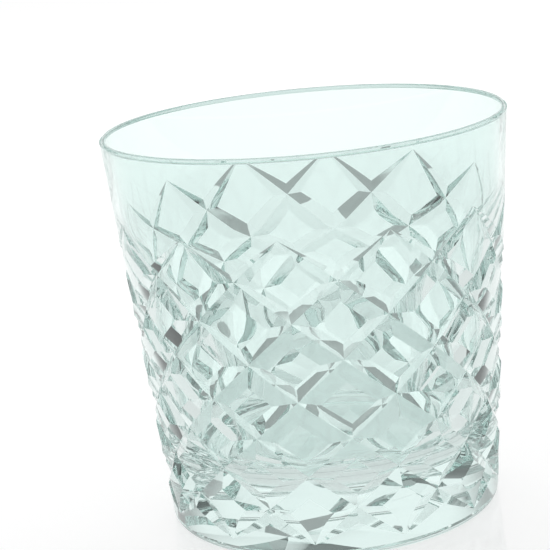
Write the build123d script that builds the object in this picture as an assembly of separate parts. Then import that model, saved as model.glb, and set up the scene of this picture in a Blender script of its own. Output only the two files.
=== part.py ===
from build123d import *

import math
import os

# Cut-crystal whiskey tumbler, one piece of glass. Millimetres, +Z up.
# The origin is the centre of the base, on the surface that the glass stands on.

# Outside of the glass: a plain cone with a rounded heel.
HEIGHT = 83.0
RIM_RADIUS = 42.0
BASE_RADIUS = 35.0
HEEL_ROUND = 1.8

# Wall, lip and bowl. The plain band under the lip is thin; below it the wall swells for the cuts.
LIP_THICKNESS = 1.1
LIP_ROUND = 0.5
BAND_FOOT_HEIGHT = 66.0
BAND_FOOT_WALL = 1.25
BAND_FOOT_ROUND = 60.0
SHOULDER_HEIGHT = 50.0
SHOULDER_WALL = 3.2
SHOULDER_ROUND = 60.0
FLOOR_HEIGHT = 13.0
FLOOR_WALL = 5.0
FLOOR_ROUND = 10.0

# Foot: a shallow polished recess underneath leaves a flat ring to stand on.
FOOT_INNER_RADIUS = 29.0
RECESS_DEPTH = 0.5

# Diamond cutting: two crossing families of V grooves that spiral down the wall.
# Each groove turns part of the way round, a little steeper at the top than at the bottom,
# and runs out to nothing at both tips.
# The family cut first is a little deeper. A groove's slope is half its width over its depth.
GROOVES_PER_FAMILY = 12
FIRST_TIP_ANGLE = 15.0
GROOVE_TOP = 66.8
GROOVE_BOTTOM = 3.4
GROOVE_TURN = 120.0
GROOVE_BOW = 0.13
GROOVE_DEPTHS = (1.7, 1.55)
GROOVE_SLOPE = 1.9
TOP_RUN_OUT = 30.0
BOTTOM_RUN_OUT = 18.0

# Cutters stand proud of the glass, pass both tips, and are lofted through stations.
CUTTER_RISE = 1.5
CUTTER_OVERRUN = 2.0
GROOVE_STATIONS = 13

WALL_SLOPE = (RIM_RADIUS - BASE_RADIUS) / HEIGHT
WALL_ANGLE = math.atan(WALL_SLOPE)
UP = Vector(0, 0, 1)


def outer_radius(z):
    """Radius of the uncut outer cone at height z."""
    return BASE_RADIUS + WALL_SLOPE * z


def corner_at(section, x, z):
    """The corner of the section that lies nearest to (x, z)."""
    return min(section.vertices(), key=lambda v: math.hypot(v.X - x, v.Z - z))


def make_blank():
    """The uncut glass: the cone with its bowl, lip, heel and foot recess."""
    lip_inner = (RIM_RADIUS - LIP_THICKNESS, HEIGHT)
    band_foot = (outer_radius(BAND_FOOT_HEIGHT) - BAND_FOOT_WALL, BAND_FOOT_HEIGHT)
    shoulder = (outer_radius(SHOULDER_HEIGHT) - SHOULDER_WALL, SHOULDER_HEIGHT)
    floor_edge = (outer_radius(FLOOR_HEIGHT) - FLOOR_WALL, FLOOR_HEIGHT)
    outline = [
        (0, RECESS_DEPTH),
        (FOOT_INNER_RADIUS, RECESS_DEPTH),
        (FOOT_INNER_RADIUS + RECESS_DEPTH, 0),
        (BASE_RADIUS, 0),
        (RIM_RADIUS, HEIGHT),
        lip_inner,
        band_foot,
        shoulder,
        floor_edge,
        (0, FLOOR_HEIGHT),
    ]
    rounds = [
        ((BASE_RADIUS, 0), HEEL_ROUND),
        ((RIM_RADIUS, HEIGHT), LIP_ROUND),
        (lip_inner, LIP_ROUND),
        (band_foot, BAND_FOOT_ROUND),
        (shoulder, SHOULDER_ROUND),
        (floor_edge, FLOOR_ROUND),
    ]
    section = Plane.XZ * make_face(Polyline(*outline, close=True))
    for (x, z), radius in rounds:
        section = fillet(corner_at(section, x, z), radius)
    return revolve(section, Axis.Z)


def v_section(centre, along, outward, depth):
    """Triangle across a cutter, with its tip at depth below centre."""
    across = along.cross(outward).normalized()
    half_width = (depth + CUTTER_RISE) * GROOVE_SLOPE
    tip = centre - outward * depth
    left = centre + outward * CUTTER_RISE + across * half_width
    right = centre + outward * CUTTER_RISE - across * half_width
    return make_face(Polyline(tip, left, right, close=True))


def groove_path(angle, hand):
    """Centre, direction and outward normal of a groove, angle degrees past its top tip."""
    share = angle / GROOVE_TURN
    fall = GROOVE_TOP - GROOVE_BOTTOM
    height = GROOVE_TOP - fall * share * (1 + GROOVE_BOW * (1 - share))
    drop = fall * (1 + GROOVE_BOW * (1 - 2 * share)) / math.radians(GROOVE_TURN)
    turn = math.radians(angle) * hand
    radial = Vector(math.cos(turn), math.sin(turn), 0)
    around = Vector(-math.sin(turn), math.cos(turn), 0) * hand
    centre = radial * outer_radius(height) + UP * height
    along = around * outer_radius(height) - (radial * WALL_SLOPE + UP) * drop
    outward = radial * math.cos(WALL_ANGLE) - UP * math.sin(WALL_ANGLE)
    return centre, along.normalized(), outward


def depth_share(angle):
    """Share of a groove's full depth, angle degrees past its top tip; negative beyond a tip."""
    past_top = angle / TOP_RUN_OUT
    before_bottom = (GROOVE_TURN - angle) / BOTTOM_RUN_OUT
    return math.sin(min(past_top, before_bottom, 1.0) * math.pi / 2)


def make_groove_cutter(hand, depth):
    """One V cutter along a spiral; hand is 1 or -1 for the two families."""
    step = (GROOVE_TURN + 2 * CUTTER_OVERRUN) / (GROOVE_STATIONS - 1)
    sections = []
    for station in range(GROOVE_STATIONS):
        angle = station * step - CUTTER_OVERRUN
        centre, along, outward = groove_path(angle, hand)
        sections.append(v_section(centre, along, outward, depth * depth_share(angle)))
    return loft(sections)


def make_tumbler():
    """The finished glass: the blank less its diamond grooves."""
    glass = make_blank()
    pitch = 360 / GROOVES_PER_FAMILY
    for hand, depth in zip((1, -1), GROOVE_DEPTHS):
        cutter = make_groove_cutter(hand, depth)
        family = [Rot(0, 0, FIRST_TIP_ANGLE + n * pitch) * cutter for n in range(GROOVES_PER_FAMILY)]
        glass = glass - family
    return glass


os.makedirs("parts", exist_ok=True)
export_step(make_tumbler(), "parts/tumbler_glass.step")
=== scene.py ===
"""Cut-crystal whiskey tumbler: its glass mesh, materials, floor, light and camera. Metres, +Z up."""

import math

import bmesh
import bpy
import numpy as np
from mathutils import Matrix, Vector


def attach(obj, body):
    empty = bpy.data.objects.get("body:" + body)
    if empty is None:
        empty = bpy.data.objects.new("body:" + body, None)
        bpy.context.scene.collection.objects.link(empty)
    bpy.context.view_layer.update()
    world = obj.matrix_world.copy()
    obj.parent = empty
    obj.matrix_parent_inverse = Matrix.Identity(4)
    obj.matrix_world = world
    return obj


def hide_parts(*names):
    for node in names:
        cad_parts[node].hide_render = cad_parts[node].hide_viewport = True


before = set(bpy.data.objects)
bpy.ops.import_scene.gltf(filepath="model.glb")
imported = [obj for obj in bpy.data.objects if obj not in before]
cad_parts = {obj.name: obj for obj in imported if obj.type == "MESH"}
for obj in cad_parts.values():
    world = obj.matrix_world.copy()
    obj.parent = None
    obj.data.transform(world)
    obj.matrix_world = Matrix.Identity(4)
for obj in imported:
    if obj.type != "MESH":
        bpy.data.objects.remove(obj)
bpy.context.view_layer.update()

MM = 0.001
NODE = "tumbler_glass"

# The glass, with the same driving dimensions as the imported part.
HEIGHT = 83.0 * MM
RIM_RADIUS = 42.0 * MM
BASE_RADIUS = 35.0 * MM
HEEL_ROUND = 1.8 * MM
LIP_THICKNESS = 1.1 * MM
LIP_ROUND = 0.5 * MM
BAND_FOOT_HEIGHT = 66.0 * MM
BAND_FOOT_WALL = 1.25 * MM
BAND_FOOT_ROUND = 60.0 * MM
SHOULDER_HEIGHT = 50.0 * MM
SHOULDER_WALL = 3.2 * MM
SHOULDER_ROUND = 60.0 * MM
FLOOR_HEIGHT = 13.0 * MM
FLOOR_WALL = 5.0 * MM
FLOOR_ROUND = 10.0 * MM
FOOT_INNER_RADIUS = 29.0 * MM
RECESS_DEPTH = 0.5 * MM

# Diamond cutting, with one mean depth for both families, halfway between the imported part's two.
GROOVES = 12
PITCH = 2 * math.pi / GROOVES
FIRST_TIP = PITCH / 2
ROWS = 8
GROOVE_TOP = 66.8 * MM
GROOVE_BOTTOM = 3.4 * MM
GROOVE_BOW = 0.13
GROOVE_DEPTH = 1.62 * MM
GROOVE_SLOPE = 1.9
TOP_RUN_OUT = math.radians(30)
BOTTOM_RUN_OUT = math.radians(18)

# Hand work: how far the pattern drifts round to the far side, and each groove strays from it.
TIP_DRIFT = math.radians(2.2)
DRIFT_START = math.radians(-96)
TIP_STRAY = math.radians(0.8)
DEPTH_STRAY = 0.05
STRAY_SEED = 5

# Camera. Its lens and sensor are in millimetres.
CAMERA_DISTANCE = 0.400
CAMERA_RISE = math.radians(21.2)
CAMERA_TURN = math.radians(-95.69)
CAMERA_ROLL = math.radians(5.47)
CAMERA_TARGET = (-0.00858, 0.00085, 0.0503)
CAMERA_LENS = 119.75
CAMERA_SENSOR = 36
CAMERA_NEAR = 0.01

# Looks of the crystal: its surface, the slight ripple of its polish, and the tint of its depth.
CRYSTAL_TINT = (0.855, 0.94, 0.922, 1)
CRYSTAL_IOR = 1.54
RIPPLE_SCALE = 60.0
RIPPLE_DETAIL = 1.0
RIPPLE_STRENGTH = 0.04
RIPPLE_HEIGHT = 0.1 * MM
DEPTH_TINT = (0.7, 0.87, 0.84, 1)
DEPTH_DENSITY = 6.0

# Looks of the floor.
FLOOR_HALF = 3.0
FLOOR_GAP = 0.1 * MM
FLOOR_COLOUR = (0.6, 0.6, 0.6, 1)
FLOOR_ROUGHNESS = 0.04
FLOOR_SPECULAR = 0.25
FLOOR_GLOW = 0.63
GLOW_COLOUR = (1, 1, 1, 1)

# Studio: grey levels from straight away from the backdrop, 0, to straight at it, 1. HORIZON maps a
# direction's height to the light's strength.
BACKDROP_DIRECTION = (0.08, 0.92, 0.38)
STUDIO_STOPS = [(0.0, 0.6), (0.28, 0.5), (0.48, 0.2), (0.78, 0.38), (0.95, 1.05)]
HORIZON = {"From Min": 0.08, "From Max": 0.19, "To Min": 0.4, "To Max": 1.0}

# Light crosses many faces of the glass before it leaves.
LIGHT_BOUNCES = 64

# Mesh fineness, the passes that settle where a groove's bank runs, and the heights where the cut
# zone's mesh meets the turned surfaces.
CELL_STEPS = 8
AROUND = GROOVES * 2 * CELL_STEPS
BANK_PASSES = 20
ROUND_STEPS_PER_RADIAN = 9.0
FEWEST_ROUND_STEPS = 8
BAND_BOTTOM = 73.0 * MM
BAND_STEPS = 3
HEEL_TOP = 1.75 * MM
WELD = 1e-6
SHARP_ANGLE = math.radians(20)

SLOPE = (RIM_RADIUS - BASE_RADIUS) / HEIGHT
LEAN = math.atan(SLOPE)
GROOVE_FALL = GROOVE_TOP - GROOVE_BOTTOM
GROOVE_TURN = ROWS * PITCH / 2


def wall_radius(z):
    """Radius of the uncut outer cone at height z."""
    return BASE_RADIUS + SLOPE * z


def groove_height(turned):
    """Height of a groove that has turned this far from its top tip."""
    share = turned / GROOVE_TURN
    return GROOVE_TOP - GROOVE_FALL * share * (1 + GROOVE_BOW * (1 - share))


def turned_at(z):
    """How far a groove has turned when it comes down to height z."""
    fallen = (GROOVE_TOP - z) / GROOVE_FALL
    steep = 1 + GROOVE_BOW
    return GROOVE_TURN * (steep - math.sqrt(steep**2 - 4 * GROOVE_BOW * fallen)) / (2 * GROOVE_BOW)


def on_wall(around, turned, depth=0.0):
    """Point of the outer wall at angle around, where a groove has turned by turned, sunk by depth."""
    z = groove_height(turned)
    radius = wall_radius(z) - depth * math.cos(LEAN)
    return (radius * math.cos(around), radius * math.sin(around), z + depth * math.sin(LEAN))


def drifted(angle):
    """Where a tip that should be at this angle was cut."""
    return angle + TIP_DRIFT * (1 - math.cos(angle - DRIFT_START)) / 2


def a_first(family, own, crossing):
    """A groove's own value and the crossing family's, as (family a's, family b's)."""
    return (own, crossing) if family == "a" else (crossing, own)


class Groove:
    """One spiral V groove: the angle of its tip, and its full depth.

    It runs from where it has turned by start, at its top tip, to where it has turned by end.
    """

    def __init__(self, tip, depth):
        self.tip = tip
        self.depth = depth
        self.start = 0.0
        self.end = 0.0

    def depth_at(self, turned):
        """Depth under the wall, running out to nothing at both tips."""
        share = min(
            (turned - self.start) / TOP_RUN_OUT,
            (self.end - turned) / BOTTOM_RUN_OUT,
            1.0,
        )
        return self.depth * math.sin(max(share, 0.0) * math.pi / 2)

    def half_width(self, turned):
        """Half the groove's width at the surface, as an angle round the wall."""
        radius = wall_radius(groove_height(turned))
        steepness = 1 + GROOVE_BOW * (1 - 2 * turned / GROOVE_TURN)
        drop = GROOVE_FALL / GROOVE_TURN * steepness * math.hypot(1, SLOPE)
        return self.depth_at(turned) * GROOVE_SLOPE * math.hypot(1 / radius, 1 / drop)


class Lattice:
    """Both families of grooves. Family a turns forwards as it comes down, family b backwards.

    A place on the wall is (a, b): the tips that grooves of the two families would need to reach it.
    """

    def __init__(self):
        stray = np.random.RandomState(STRAY_SEED)
        self.families = {}
        for family in "ab":
            self.families[family] = [
                Groove(
                    drifted(FIRST_TIP + PITCH * i) + TIP_STRAY * stray.uniform(-1, 1),
                    GROOVE_DEPTH * (1 + DEPTH_STRAY * stray.uniform(-1, 1)),
                )
                for i in range(GROOVES)
            ]
        for i in range(GROOVES):
            self.groove("a", i).start = self.groove("b", i).start = self.crossing_turned(i, i)
            self.groove("a", i).end = self.groove("b", i + ROWS).end = self.crossing_turned(i, i + ROWS)

    def groove(self, family, i):
        """Groove i of a family, counted on past a full turn."""
        return self.families[family][i % GROOVES]

    def tip(self, family, i):
        """Angle of groove i's tip, which grows past a full turn."""
        return self.groove(family, i).tip + 2 * math.pi * (i // GROOVES)

    def crossing_turned(self, i, j):
        """How far grooves a i and b j have turned where they cross."""
        return (self.tip("b", j) - self.tip("a", i)) / 2

    def crossing_depth(self, i, j):
        """Depth where grooves a i and b j cross: the deeper one's."""
        turned = self.crossing_turned(i, j)
        return max(self.groove("a", i).depth_at(turned), self.groove("b", j).depth_at(turned))

    def bank(self, side_a, side_b, a, b):
        """(a, b) moved to the banks of the grooves on its two sides.

        Each side is None, or a groove's number and 1 for its bank towards higher angles, -1 for the other.
        """
        for _ in range(BANK_PASSES):
            turned = (b - a) / 2
            if side_a:
                i, sign = side_a
                a = self.tip("a", i) + sign * self.groove("a", i).half_width(turned)
            if side_b:
                j, sign = side_b
                b = self.tip("b", j) + sign * self.groove("b", j).half_width(turned)
        return (a, b)

    def corner(self, side_a, side_b):
        """The corner of a flat, (a, b), where the banks of two crossing grooves meet."""
        return self.bank(side_a, side_b, self.tip("a", side_a[0]), self.tip("b", side_b[0]))

    def place(self, a, b, depth=0.0):
        """Point of the wall at (a, b), sunk by depth."""
        return on_wall((a + b) / 2, (b - a) / 2, depth)

    def flank(self, family, line, sign, ends, corners):
        """The flank of one groove between two crossings: its bottom line, and its bank as (a, b).

        ends are the crossing grooves' numbers, corners the bank's ends as (a, b).
        """
        bottom, bank = [], []
        own_tip = self.tip(family, line)
        other = "b" if family == "a" else "a"
        crossing_at = {0: ends[0], CELL_STEPS: ends[1]}
        for step in range(CELL_STEPS + 1):
            share = step / CELL_STEPS
            across = (1 - share) * self.tip(other, ends[0]) + share * self.tip(other, ends[1])
            a, b = a_first(family, own_tip, across)
            bank_a = (1 - share) * corners[0][0] + share * corners[1][0]
            bank_b = (1 - share) * corners[0][1] + share * corners[1][1]
            if step in crossing_at:
                depth = self.crossing_depth(*a_first(family, line, crossing_at[step]))
                bank.append((bank_a, bank_b))
            else:
                depth = self.groove(family, line).depth_at((b - a) / 2)
                bank.append(self.bank(*a_first(family, (line, sign), None), bank_a, bank_b))
            bottom.append(self.place(a, b, depth))
        return bottom, bank


def strip(faces, first, second):
    """Add the quads between two rows of as many points."""
    for k in range(len(first) - 1):
        faces.append((first[k], first[k + 1], second[k + 1], second[k]))


def diamond(lattice, faces, i, row):
    """Add one whole diamond: its flat, still the surface of the cone, and four groove flanks."""
    j = i + row
    left = lattice.corner((i, 1), (j, 1))
    top = lattice.corner((i + 1, -1), (j, 1))
    low = lattice.corner((i, 1), (j + 1, -1))
    right = lattice.corner((i + 1, -1), (j + 1, -1))
    flanks = (
        lattice.flank("a", i, 1, (j, j + 1), (left, low)),
        lattice.flank("a", i + 1, -1, (j, j + 1), (top, right)),
        lattice.flank("b", j, 1, (i, i + 1), (left, top)),
        lattice.flank("b", j + 1, -1, (i, i + 1), (low, right)),
    )
    for bottom, bank in flanks:
        strip(faces, bottom, [lattice.place(*ab) for ab in bank])
    left_low, top_right, left_top, low_right = (np.array(bank) for _, bank in flanks)
    left, top, low, right = (np.array(corner) for corner in (left, top, low, right))
    grid = []
    for up_step in range(CELL_STEPS + 1):
        up = up_step / CELL_STEPS
        line = []
        for down_step in range(CELL_STEPS + 1):
            down = down_step / CELL_STEPS
            from_a = (1 - up) * left_low[down_step] + up * top_right[down_step]
            from_b = (1 - down) * left_top[up_step] + down * low_right[up_step]
            from_corners = (
                (1 - up) * (1 - down) * left
                + up * (1 - down) * top
                + (1 - up) * down * low
                + up * down * right
            )
            line.append(lattice.place(*(from_a + from_b - from_corners)))
        grid.append(line)
    for first, second in zip(grid, grid[1:]):
        strip(faces, first, second)


def half_diamond(lattice, faces, i, top):
    """Add the plain wall over the first row of crossings (top) or under the last, out to a level ring."""
    j = i if top else i + ROWS
    left = (lattice.tip("a", i), lattice.tip("b", j))
    right = (lattice.tip("a", i + 1), lattice.tip("b", j + 1))
    if top:
        corner = lattice.corner((i, 1), (j + 1, -1))
        first = lattice.flank("a", i, 1, (j, j + 1), (left, corner))
        second = lattice.flank("b", j + 1, -1, (i, i + 1), (corner, right))
    else:
        corner = lattice.corner((i + 1, -1), (j, 1))
        first = lattice.flank("b", j, 1, (i, i + 1), (left, corner))
        second = lattice.flank("a", i + 1, -1, (j, j + 1), (corner, right))
    for bottom, bank in (first, second):
        strip(faces, bottom, [lattice.place(*ab) for ab in bank])
    edge = first[1] + second[1][1:]
    ring_turned = turned_at(BAND_BOTTOM if top else HEEL_TOP)
    middle = FIRST_TIP + PITCH / 2 * (i + j)
    previous = [lattice.place(*ab) for ab in edge]
    for step in range(1, BAND_STEPS + 1):
        share = step / BAND_STEPS
        line = []
        for k, (a, b) in enumerate(edge):
            around = (1 - share) * (a + b) / 2 + share * (middle + PITCH * k / (len(edge) - 1))
            turned = (1 - share) * (b - a) / 2 + share * ring_turned
            line.append(on_wall(around, turned))
        strip(faces, previous, line)
        previous = line


def rounded(corners):
    """The polyline in (radius, z) through corners (radius, z, round), each rounded by its round."""
    line = [corners[0][:2]]
    for before, here, after in zip(corners, corners[1:], corners[2:]):
        corner, radius = Vector(here[:2]), here[2]
        if radius == 0:
            line.append(tuple(corner))
            continue
        back = (Vector(before[:2]) - corner).normalized()
        ahead = (Vector(after[:2]) - corner).normalized()
        half = back.angle(ahead) / 2
        centre = corner + (back + ahead).normalized() * radius / math.sin(half)
        start = corner + back * radius / math.tan(half) - centre
        turn = math.pi - 2 * half
        sign = 1 if start.x * ahead.y - start.y * ahead.x > 0 else -1
        steps = max(FEWEST_ROUND_STEPS, round(turn * ROUND_STEPS_PER_RADIAN))
        for step in range(steps + 1):
            angle = sign * turn * step / steps
            cos, sin = math.cos(angle), math.sin(angle)
            line.append((centre.x + cos * start.x - sin * start.y, centre.y + sin * start.x + cos * start.y))
    line.append(corners[-1][:2])
    return line


def ring(radius, z):
    """AROUND points of a level circle, and the first again."""
    angles = [FIRST_TIP + 2 * math.pi * step / AROUND for step in range(AROUND + 1)]
    return [(radius * math.cos(angle), radius * math.sin(angle), z) for angle in angles]


def revolve(faces, line):
    """Add the surface of revolution of a polyline in (radius, z)."""
    for (r0, z0), (r1, z1) in zip(line, line[1:]):
        strip(faces, ring(r0, z0), ring(r1, z1))


def tumbler_mesh():
    """The whole glass as one closed mesh."""
    faces = []
    lattice = Lattice()
    for i in range(GROOVES):
        for row in range(1, ROWS):
            diamond(lattice, faces, i, row)
        half_diamond(lattice, faces, i, top=True)
        half_diamond(lattice, faces, i, top=False)
    lip_and_bowl = [
        (wall_radius(BAND_BOTTOM), BAND_BOTTOM, 0),
        (RIM_RADIUS, HEIGHT, LIP_ROUND),
        (RIM_RADIUS - LIP_THICKNESS, HEIGHT, LIP_ROUND),
        (wall_radius(BAND_FOOT_HEIGHT) - BAND_FOOT_WALL, BAND_FOOT_HEIGHT, BAND_FOOT_ROUND),
        (wall_radius(SHOULDER_HEIGHT) - SHOULDER_WALL, SHOULDER_HEIGHT, SHOULDER_ROUND),
        (wall_radius(FLOOR_HEIGHT) - FLOOR_WALL, FLOOR_HEIGHT, FLOOR_ROUND),
        (0, FLOOR_HEIGHT, 0),
    ]
    foot = [
        (wall_radius(HEEL_TOP), HEEL_TOP, 0),
        (BASE_RADIUS, 0, HEEL_ROUND),
        (FOOT_INNER_RADIUS + RECESS_DEPTH, 0, 0),
        (FOOT_INNER_RADIUS, RECESS_DEPTH, 0),
        (0, RECESS_DEPTH, 0),
    ]
    revolve(faces, rounded(lip_and_bowl))
    revolve(faces, rounded(foot))
    return welded("cut_glass", faces)


def welded(name, faces):
    """Mesh of faces that are four points each, joined where they meet, with sharp edges kept sharp."""
    mesh = bpy.data.meshes.new(name)
    points = [point for face in faces for point in face]
    mesh.from_pydata(points, [], [tuple(range(4 * k, 4 * k + 4)) for k in range(len(faces))])
    bm = bmesh.new()
    bm.from_mesh(mesh)
    bmesh.ops.remove_doubles(bm, verts=bm.verts, dist=WELD)
    bmesh.ops.dissolve_degenerate(bm, edges=bm.edges, dist=WELD)
    bmesh.ops.recalc_face_normals(bm, faces=bm.faces)
    bm.to_mesh(mesh)
    bm.free()
    mesh.polygons.foreach_set("use_smooth", [True] * len(mesh.polygons))
    mesh.set_sharp_from_angle(angle=SHARP_ANGLE)
    return mesh


def crystal_material():
    """Clear crystal with a faint green tint, its polish slightly uneven from hand work."""
    material = bpy.data.materials.new("crystal")
    material.use_nodes = True
    nodes, links = material.node_tree.nodes, material.node_tree.links
    shader = nodes["Principled BSDF"]
    shader.inputs["Base Color"].default_value = CRYSTAL_TINT
    shader.inputs["Roughness"].default_value = 0.0
    shader.inputs["IOR"].default_value = CRYSTAL_IOR
    shader.inputs["Transmission Weight"].default_value = 1.0
    place = nodes.new("ShaderNodeTexCoord")
    ripple = nodes.new("ShaderNodeTexNoise")
    ripple.inputs["Scale"].default_value = RIPPLE_SCALE
    ripple.inputs["Detail"].default_value = RIPPLE_DETAIL
    bump = nodes.new("ShaderNodeBump")
    bump.inputs["Strength"].default_value = RIPPLE_STRENGTH
    bump.inputs["Distance"].default_value = RIPPLE_HEIGHT
    links.new(place.outputs["Object"], ripple.inputs["Vector"])
    links.new(ripple.outputs["Fac"], bump.inputs["Height"])
    links.new(bump.outputs["Normal"], shader.inputs["Normal"])
    absorption = nodes.new("ShaderNodeVolumeAbsorption")
    absorption.inputs["Color"].default_value = DEPTH_TINT
    absorption.inputs["Density"].default_value = DEPTH_DENSITY
    links.new(absorption.outputs["Volume"], nodes["Material Output"].inputs["Volume"])
    return material


def floor_material():
    """Glossy white studio surface that glows a little, so that it stays white under the glass."""
    material = bpy.data.materials.new("studio_floor")
    material.use_nodes = True
    shader = material.node_tree.nodes["Principled BSDF"]
    shader.inputs["Base Color"].default_value = FLOOR_COLOUR
    shader.inputs["Roughness"].default_value = FLOOR_ROUGHNESS
    shader.inputs["Specular IOR Level"].default_value = FLOOR_SPECULAR
    shader.inputs["Emission Color"].default_value = GLOW_COLOUR
    shader.inputs["Emission Strength"].default_value = FLOOR_GLOW
    return material


def make_floor():
    """A wide square just under the glass."""
    mesh = bpy.data.meshes.new("floor")
    corners = [(x * FLOOR_HALF, y * FLOOR_HALF, 0) for x, y in ((-1, -1), (1, -1), (1, 1), (-1, 1))]
    mesh.from_pydata(corners, [], [(0, 1, 2, 3)])
    floor = bpy.data.objects.new("floor", mesh)
    bpy.context.scene.collection.objects.link(floor)
    mesh.materials.append(floor_material())
    floor.location.z = -FLOOR_GAP


def make_world():
    """Studio that is white behind the glass, mid grey before it and dark grey to the sides and overhead.

    It is dimmed at the horizon and below.
    """
    world = bpy.data.worlds.new("studio")
    bpy.context.scene.world = world
    world.use_nodes = True
    nodes, links = world.node_tree.nodes, world.node_tree.links
    place = nodes.new("ShaderNodeTexCoord")
    towards_back = nodes.new("ShaderNodeVectorMath")
    towards_back.operation = "DOT_PRODUCT"
    towards_back.inputs[1].default_value = BACKDROP_DIRECTION
    ramp = nodes.new("ShaderNodeValToRGB")
    ramp.color_ramp.interpolation = "EASE"
    # The dot product runs from -1 to 1, and the ramp from 0 to 1.
    spread = nodes.new("ShaderNodeMapRange")
    spread.inputs["From Min"].default_value = -1.0
    links.new(place.outputs["Generated"], towards_back.inputs[0])
    links.new(towards_back.outputs["Value"], spread.inputs["Value"])
    links.new(spread.outputs["Result"], ramp.inputs["Fac"])
    links.new(ramp.outputs["Color"], nodes["Background"].inputs["Color"])
    stops = ramp.color_ramp.elements
    for position, _ in STUDIO_STOPS[1:-1]:
        stops.new(position)
    for stop, (position, level) in zip(stops, STUDIO_STOPS):
        stop.position = position
        stop.color = (level, level, level, 1)
    height = nodes.new("ShaderNodeSeparateXYZ")
    horizon = nodes.new("ShaderNodeMapRange")
    horizon.interpolation_type = "SMOOTHSTEP"
    for name, value in HORIZON.items():
        horizon.inputs[name].default_value = value
    links.new(place.outputs["Generated"], height.inputs["Vector"])
    links.new(height.outputs["Z"], horizon.inputs["Value"])
    links.new(horizon.outputs["Result"], nodes["Background"].inputs["Strength"])


def make_camera():
    """Camera a little above the rim, rolled as the photographer held it."""
    data = bpy.data.cameras.new("camera")
    camera = bpy.data.objects.new("camera", data)
    bpy.context.scene.collection.objects.link(camera)
    level = math.cos(CAMERA_RISE)
    across, along = level * math.cos(CAMERA_TURN), level * math.sin(CAMERA_TURN)
    eye = Vector((across, along, math.sin(CAMERA_RISE))) * CAMERA_DISTANCE
    forward = (Vector(CAMERA_TARGET) - eye).normalized()
    right = forward.cross(Vector((0, 0, 1))).normalized()
    up = right.cross(forward)
    roll = Matrix.Rotation(CAMERA_ROLL, 3, forward)
    axes = Matrix((roll @ right, roll @ up, -forward)).transposed()
    camera.matrix_world = Matrix.Translation(eye) @ axes.to_4x4()
    data.lens = CAMERA_LENS
    data.sensor_width = CAMERA_SENSOR
    data.clip_start = CAMERA_NEAR
    bpy.context.scene.camera = camera


def make_tumbler():
    """The glass, riding on the part's one body in place of its CAD solid."""
    tumbler = bpy.data.objects.new("cut_tumbler", tumbler_mesh())
    bpy.context.scene.collection.objects.link(tumbler)
    tumbler.data.materials.append(crystal_material())
    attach(tumbler, "root")
    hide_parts(NODE)


def set_light_paths():
    """Plain colours, and enough bounces for light to find its way out of the cuts."""
    scene = bpy.context.scene
    scene.view_settings.view_transform = "Standard"
    scene.cycles.max_bounces = LIGHT_BOUNCES
    scene.cycles.transmission_bounces = LIGHT_BOUNCES
    scene.cycles.glossy_bounces = LIGHT_BOUNCES


make_tumbler()
make_floor()
make_world()
make_camera()
set_light_paths()
